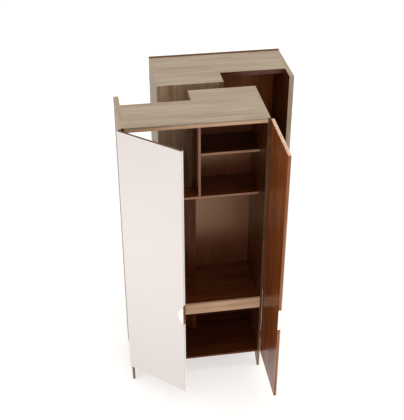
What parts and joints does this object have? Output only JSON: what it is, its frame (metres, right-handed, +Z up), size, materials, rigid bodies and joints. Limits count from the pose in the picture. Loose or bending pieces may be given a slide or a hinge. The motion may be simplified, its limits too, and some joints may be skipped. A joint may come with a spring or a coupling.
{
  "type": "wardrobe with doors",
  "caption": "Tall wardrobe of L-shaped units on blade feet, with hinged white doors, wood-grain boards, shelves and a divider; one unit stands turned behind the other.",
  "frame": {"origin": "underside of the front unit's front left floor glide, at its centre, on the floor", "axes": "+X to the right seen from the front, +Y from the front unit to the back unit, +Z up"},
  "size_m": [1.2098, 1.4729, 2.005],
  "materials": {
    "greige_laminate": "matt greige wood-grain laminate",
    "brown_laminate": "satin dark brown wood-grain laminate",
    "tan_edge": "matt tan wood-grain edging",
    "foot_wood": "matt olive brown",
    "white_front": "satin white lacquer",
    "pull_metal": "satin",
    "hinge_steel": "dark bronze plated",
    "clear_plastic": "matt, nearly clear",
    "dark_plastic": "matt",
    "beech": "bare"
  },
  "bodies": {
    "front_left_door": {"front_left_door_core": "brown_laminate", "front_left_door_skin": "white_front", "front_left_pull": "pull_metal", "front_left_door_leaves": "hinge_steel"},
    "front_right_door": {"front_right_door_core": "brown_laminate", "front_right_door_skin": "white_front", "front_right_pull": "pull_metal", "front_right_door_leaves": "hinge_steel"},
    "front_unit": {"front_side_long": "greige_laminate", "front_side_liner": "brown_laminate", "front_side_deep": "greige_laminate", "front_notch_wall": "greige_laminate", "front_top_board": "greige_laminate", "front_bottom_board": "brown_laminate", "front_back_deep": "greige_laminate", "front_back_shallow": "brown_laminate", "front_divider": "brown_laminate", "front_small_shelf": "brown_laminate", "front_main_shelf": "brown_laminate", "front_deck_top": "brown_laminate", "front_deck_under": "brown_laminate", "front_deck_fascia": "tan_edge", "front_feet": "foot_wood", "front_glides": "dark_plastic", "front_hinge_leaves": "hinge_steel", "front_hinge_pins": "hinge_steel", "front_bumpers": "clear_plastic", "front_shelf_pins": "hinge_steel", "front_dowels": "beech"},
    "back_left_door": {"back_left_door_core": "brown_laminate", "back_left_door_skin": "white_front", "back_left_pull": "pull_metal", "back_left_door_leaves": "hinge_steel"},
    "back_right_door": {"back_right_door_core": "brown_laminate", "back_right_door_skin": "white_front", "back_right_pull": "pull_metal", "back_right_door_leaves": "hinge_steel"},
    "back_unit": {"back_side_long": "greige_laminate", "back_side_liner": "brown_laminate", "back_side_deep": "greige_laminate", "back_notch_wall": "greige_laminate", "back_top_board": "greige_laminate", "back_bottom_board": "brown_laminate", "back_back_deep": "greige_laminate", "back_back_shallow": "brown_laminate", "back_divider": "brown_laminate", "back_small_shelf": "brown_laminate", "back_main_shelf": "brown_laminate", "back_deck_top": "brown_laminate", "back_deck_under": "brown_laminate", "back_deck_fascia": "tan_edge", "back_feet": "foot_wood", "back_glides": "dark_plastic", "back_hinge_leaves": "hinge_steel", "back_hinge_pins": "hinge_steel", "back_bumpers": "clear_plastic", "back_shelf_pins": "hinge_steel", "back_dowels": "beech"}
  },
  "joints": [
    {"name": "front_left_hinge", "type": "hinge", "parent": "front_unit", "child": "front_left_door", "pos_m": [-0.00735, -0.0073, 1.069], "axis": [0, 0, -1], "range_deg": [-41.6, 68.4]},
    {"name": "front_right_hinge", "type": "hinge", "parent": "front_unit", "child": "front_right_door", "pos_m": [0.90135, -0.0073, 1.069], "axis": [0, 0, 1], "range_deg": [-89.5, 20.5]},
    {"name": "back_unit_slide", "type": "slide", "parent": "front_unit", "child": "back_unit", "axis": [1, 0, 0], "range_m": [-0.25, 0]},
    {"name": "back_left_hinge", "type": "hinge", "parent": "back_unit", "child": "back_left_door", "pos_m": [1.18535, 0.9873, 1.081], "axis": [0, 0, -1], "range_deg": [0, 110]},
    {"name": "back_right_hinge", "type": "hinge", "parent": "back_unit", "child": "back_right_door", "pos_m": [0.27665, 0.9873, 1.081], "axis": [0, 0, 1], "range_deg": [0, 110]}
  ]
}
